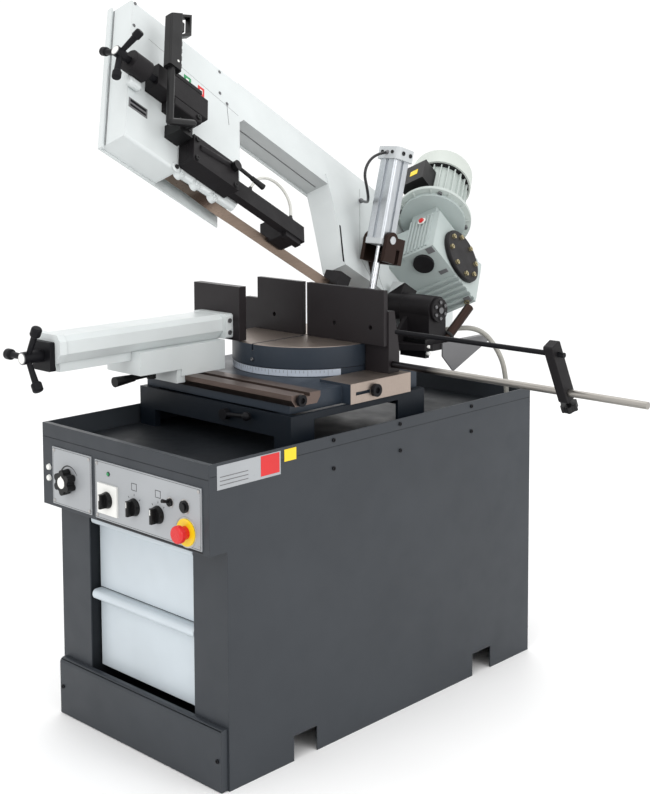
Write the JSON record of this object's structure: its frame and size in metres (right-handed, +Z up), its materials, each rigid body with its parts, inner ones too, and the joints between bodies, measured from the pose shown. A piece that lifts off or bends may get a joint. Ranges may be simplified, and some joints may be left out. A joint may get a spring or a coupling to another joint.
{
  "type": "swivel-head band saw",
  "caption": "Metal-cutting band saw with a tilted swivelling bow, vise, length stop and lift cylinder on a cabinet with two drawers.",
  "frame": {"origin": "floor level under the centre of the cabinet", "axes": "+Z up, -Y the operator side with the control panel and drawers, +X the side with the length stop"},
  "size_m": [1.288, 1.5923, 1.7846],
  "materials": {
    "cabinet_paint": "satin graphite powder coat",
    "bow_paint": "satin white paint",
    "drawer_paint": "satin pale grey paint",
    "panel_grey": "satin light grey foil",
    "fitting_plastic": "satin",
    "black_plastic": "satin",
    "red_plastic": "gloss",
    "black_paint": "satin black paint",
    "bed_paint": "painted casting",
    "machined_steel": "ground",
    "dark_steel": "oiled",
    "blade_steel": "brushed",
    "screw_steel": "plain",
    "gear_paint": "painted casting",
    "motor_paint": "satin",
    "cylinder_alloy": "anodised",
    "chrome_rod": "polished",
    "hose_clear": "satin",
    "conduit_grey": "ribbed"
  },
  "bodies": {
    "cabinet": {"cabinet_panels": "cabinet_paint", "front_panel": "cabinet_paint", "tray_deck": "cabinet_paint", "inner_frame": "cabinet_paint", "plinth_cover": "cabinet_paint", "control_plates": "panel_grey", "control_fittings": "fitting_plastic", "base_screws": "screw_steel", "bed_subframe": "black_paint", "bed_casting": "bed_paint", "vise_rail": "dark_steel"},
    "lower_drawer": {"drawer_lower": "drawer_paint"},
    "upper_drawer": {"drawer_upper": "drawer_paint"},
    "flow_dial": {"flow_knob": "black_plastic"},
    "main_switch": {"main_switch_knob": "black_plastic"},
    "left_selector": {"selector_left": "black_plastic"},
    "right_selector": {"selector_right": "black_plastic"},
    "toggle_switch": {"toggle_lever": "black_plastic"},
    "start_button": {"push_button": "black_plastic"},
    "stop_mushroom": {"estop_head": "red_plastic"},
    "swivel_lock": {"swivel_lock_lever": "black_paint"},
    "swivel_table": {"turntable": "bed_paint", "swivel_arm": "black_paint", "rear_bracket": "bed_paint", "cable_conduit": "conduit_grey"},
    "right_jaw": {"jaw_right": "black_paint", "scaled_rod": "machined_steel"},
    "left_jaw": {"jaw_left": "black_paint"},
    "stop_carrier": {"stop_arm": "black_paint"},
    "stop_bar": {"stop_rod": "black_paint"},
    "stop_clamp": {"stop_knob": "black_plastic"},
    "carriage": {"vise_carriage": "bow_paint"},
    "moving_vise": {"vise_beam": "bow_paint", "movable_jaw": "black_paint"},
    "vise_screw": {"vise_handwheel": "black_paint"},
    "carriage_clamp": {"carriage_lever": "black_plastic"},
    "bow": {"bow_frame": "bow_paint", "bow_cover": "bow_paint", "lower_blade_housing": "bow_paint", "saw_blade": "blade_steel", "tension_barrel": "black_paint", "guide_clamp": "black_paint", "rear_guide": "black_paint", "pistol_handle": "black_plastic", "gearbox_housing": "gear_paint", "gearbox_fittings": "black_paint", "motor_body": "motor_paint", "fan_cowl": "motor_paint", "cylinder_yoke": "black_paint", "hydraulic_hose": "hose_clear"},
    "drive_pulley": {"drive_wheel": "gear_paint"},
    "tension_carrier": {"tension_slider": "black_paint"},
    "idler_pulley": {"idler_wheel": "gear_paint"},
    "tension_screw": {"tension_handwheel": "black_paint"},
    "front_guide": {"guide_arm": "black_paint", "coolant_hose": "hose_clear"},
    "guide_clamp_lever": {"guide_lever": "black_plastic"},
    "trigger": {"handle_trigger": "black_plastic"},
    "lift_cylinder": {"cylinder_barrel": "cylinder_alloy"},
    "lift_rod": {"cylinder_rod": "chrome_rod"}
  },
  "joints": [
    {"name": "swivel", "type": "hinge", "parent": "cabinet", "child": "swivel_table", "pos_m": [-0.038, 0.04, 0.9], "axis": [0, 0, 1], "range_deg": [-45, 45], "deforming": ["cable_conduit"]},
    {"name": "bow_pitch", "type": "hinge", "parent": "swivel_table", "child": "bow", "pos_m": [0, 0.355, 0.971], "axis": [-1, 0, 0], "range_deg": [-29.5, 0]},
    {"name": "cylinder_swing", "type": "hinge", "parent": "bow", "child": "lift_cylinder", "pos_m": [0.008, 0.282, 1.161], "axis": [1, 0, 0], "range_deg": [-10.5, 0.1], "deforming": ["hydraulic_hose"]},
    {"name": "cylinder_stroke", "type": "slide", "parent": "lift_cylinder", "child": "lift_rod", "axis": [0, -0.2638, -0.9646], "range_m": [-0.069, 0.001]},
    {"name": "blade_drive", "type": "hinge", "parent": "bow", "child": "drive_pulley", "pos_m": [-0.1272, 0.52613, 1.00948], "axis": [0.8829, 0.2312, 0.4086], "continuous": true},
    {"name": "blade_tension", "type": "slide", "parent": "bow", "child": "tension_carrier", "axis": [0, -0.8704, 0.4924], "range_m": [-0.015, 0]},
    {"name": "tension_turn", "type": "hinge", "parent": "bow", "child": "tension_screw", "pos_m": [-0.05752, -0.55256, 1.64542], "axis": [0, -0.8704, 0.4924], "range_deg": [-1355, 5]},
    {"name": "idler_spin", "type": "hinge", "parent": "tension_carrier", "child": "idler_pulley", "pos_m": [-0.1272, -0.32682, 1.49205], "axis": [0.8829, 0.2312, 0.4086], "continuous": true},
    {"name": "guide_slide", "type": "slide", "parent": "bow", "child": "front_guide", "axis": [0, -0.8704, 0.4924], "range_m": [-0.075, 0.03]},
    {"name": "guide_lever_turn", "type": "hinge", "parent": "bow", "child": "guide_clamp_lever", "pos_m": [0.01578, -0.25757, 1.37887], "axis": [0.8829, 0.2312, 0.4086], "range_deg": [0, 55]},
    {"name": "trigger_press", "type": "slide", "parent": "bow", "child": "trigger", "axis": [0, -0.8704, 0.4924], "range_m": [0, 0.003], "stiffness_N_per_m": 900, "springref_m": -0.001},
    {"name": "right_jaw_slide", "type": "slide", "parent": "cabinet", "child": "right_jaw", "axis": [-1, 0, 0], "range_m": [-0.06, 0]},
    {"name": "left_jaw_slide", "type": "slide", "parent": "cabinet", "child": "left_jaw", "axis": [1, 0, 0], "range_m": [-0.05, 0]},
    {"name": "stop_arm_slide", "type": "slide", "parent": "right_jaw", "child": "stop_carrier", "axis": [1, 0, 0], "range_m": [-0.22, 0.18]},
    {"name": "stop_rod_slide", "type": "slide", "parent": "stop_carrier", "child": "stop_bar", "axis": [1, 0, 0], "range_m": [-0.02, 0.15]},
    {"name": "stop_clamp_turn", "type": "hinge", "parent": "stop_carrier", "child": "stop_clamp", "pos_m": [0.764, 0.062, 0.872], "axis": [0, -0.4396, 0.8982], "range_deg": [-20, 340]},
    {"name": "vise_traverse", "type": "slide", "parent": "cabinet", "child": "carriage", "axis": [-1, 0, 0], "range_m": [-0.22, 0.03]},
    {"name": "vise_feed", "type": "slide", "parent": "carriage", "child": "moving_vise", "axis": [0, 1, 0], "range_m": [-0.02, 0.16]},
    {"name": "vise_screw_turn", "type": "hinge", "parent": "moving_vise", "child": "vise_screw", "pos_m": [-0.175, -0.744, 0.943], "axis": [0, 1, 0], "range_deg": [-1445, 11525]},
    {"name": "carriage_lever_turn", "type": "hinge", "parent": "carriage", "child": "carriage_clamp", "pos_m": [-0.185, -0.372, 0.853], "axis": [0, 0, 1], "range_deg": [-45, 45]},
    {"name": "swivel_lock_turn", "type": "hinge", "parent": "cabinet", "child": "swivel_lock", "pos_m": [0.04, -0.318, 0.776], "axis": [0, -1, 0], "range_deg": [-35, 12]},
    {"name": "lower_drawer_slide", "type": "slide", "parent": "cabinet", "child": "lower_drawer", "axis": [0, -1, 0], "range_m": [0, 0.35]},
    {"name": "upper_drawer_slide", "type": "slide", "parent": "cabinet", "child": "upper_drawer", "axis": [0, -1, 0], "range_m": [0, 0.35]},
    {"name": "flow_dial_turn", "type": "hinge", "parent": "cabinet", "child": "flow_dial", "pos_m": [-0.199, -0.63, 0.622], "axis": [0, -1, 0], "range_deg": [-150, 150]},
    {"name": "main_switch_turn", "type": "hinge", "parent": "cabinet", "child": "main_switch", "pos_m": [-0.042, -0.63, 0.607], "axis": [0, -1, 0], "range_deg": [0, 90]},
    {"name": "left_selector_turn", "type": "hinge", "parent": "cabinet", "child": "left_selector", "pos_m": [0.054, -0.63, 0.608], "axis": [0, -1, 0], "range_deg": [-45, 45]},
    {"name": "right_selector_turn", "type": "hinge", "parent": "cabinet", "child": "right_selector", "pos_m": [0.14, -0.63, 0.608], "axis": [0, -1, 0], "range_deg": [-45, 45]},
    {"name": "toggle_flip", "type": "hinge", "parent": "cabinet", "child": "toggle_switch", "pos_m": [0.183, -0.619, 0.645], "axis": [1, 0, 0], "range_deg": [0, 38]},
    {"name": "start_press", "type": "slide", "parent": "cabinet", "child": "start_button", "axis": [0, 1, 0], "range_m": [0, 0.003], "stiffness_N_per_m": 600, "springref_m": -0.001},
    {"name": "stop_press", "type": "slide", "parent": "cabinet", "child": "stop_mushroom", "axis": [0, 1, 0], "range_m": [0, 0.004]}
  ],
  "couplings": [
    {"joint": "cylinder_swing", "follows": "bow_pitch", "ratio": 0.35341},
    {"joint": "cylinder_stroke", "follows": "bow_pitch", "m_per_rad": 0.13181},
    {"joint": "idler_spin", "follows": "blade_drive", "ratio": 1},
    {"joint": "tension_turn", "follows": "blade_tension", "rad_per_m": 1570.8},
    {"joint": "vise_screw_turn", "follows": "vise_feed", "rad_per_m": 1256.6}
  ]
}
